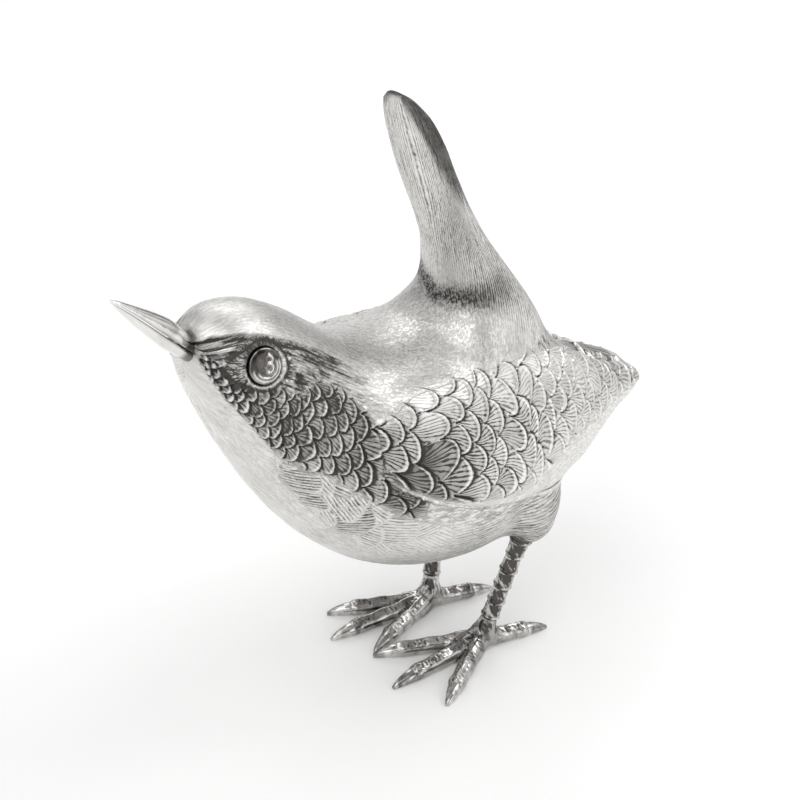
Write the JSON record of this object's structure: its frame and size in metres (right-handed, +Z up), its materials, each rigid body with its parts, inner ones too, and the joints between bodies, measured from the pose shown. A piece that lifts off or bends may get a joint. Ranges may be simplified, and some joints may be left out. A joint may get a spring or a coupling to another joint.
{
  "type": "silver wren figurine",
  "caption": "Life-size cast silver figurine of a wren, tail cocked and bill raised, with engraved feathers, standing on its own two feet.",
  "frame": {"origin": "on the floor, under the middle of the bird's length and width", "axes": "+Z up, the bill points along -Y, the bird's left side is +X"},
  "size_m": [0.0322, 0.0726, 0.0738],
  "materials": {
    "satin_silver": "satin cast silver with engraved feathers, darkened in the cuts",
    "polished_silver": "brighter silver on the bill, eyes, legs and feet"
  },
  "bodies": {
    "root": {"head": "satin_silver", "neck": "satin_silver", "trunk": "satin_silver", "tail": "satin_silver", "bill_upper": "polished_silver", "bill_lower": "polished_silver", "eye_left": "polished_silver", "wing_left": "satin_silver", "thigh_left": "satin_silver", "shank_left": "polished_silver", "foot_left": "polished_silver", "toe_left_inner": "polished_silver", "claw_left_inner": "polished_silver", "toe_left_middle": "polished_silver", "claw_left_middle": "polished_silver", "toe_left_outer": "polished_silver", "claw_left_outer": "polished_silver", "toe_left_hind": "polished_silver", "claw_left_hind": "polished_silver", "eye_right": "polished_silver", "wing_right": "satin_silver", "thigh_right": "satin_silver", "shank_right": "polished_silver", "foot_right": "polished_silver", "toe_right_inner": "polished_silver", "claw_right_inner": "polished_silver", "toe_right_middle": "polished_silver", "claw_right_middle": "polished_silver", "toe_right_outer": "polished_silver", "claw_right_outer": "polished_silver", "toe_right_hind": "polished_silver", "claw_right_hind": "polished_silver"}
  },
  "joints": []
}
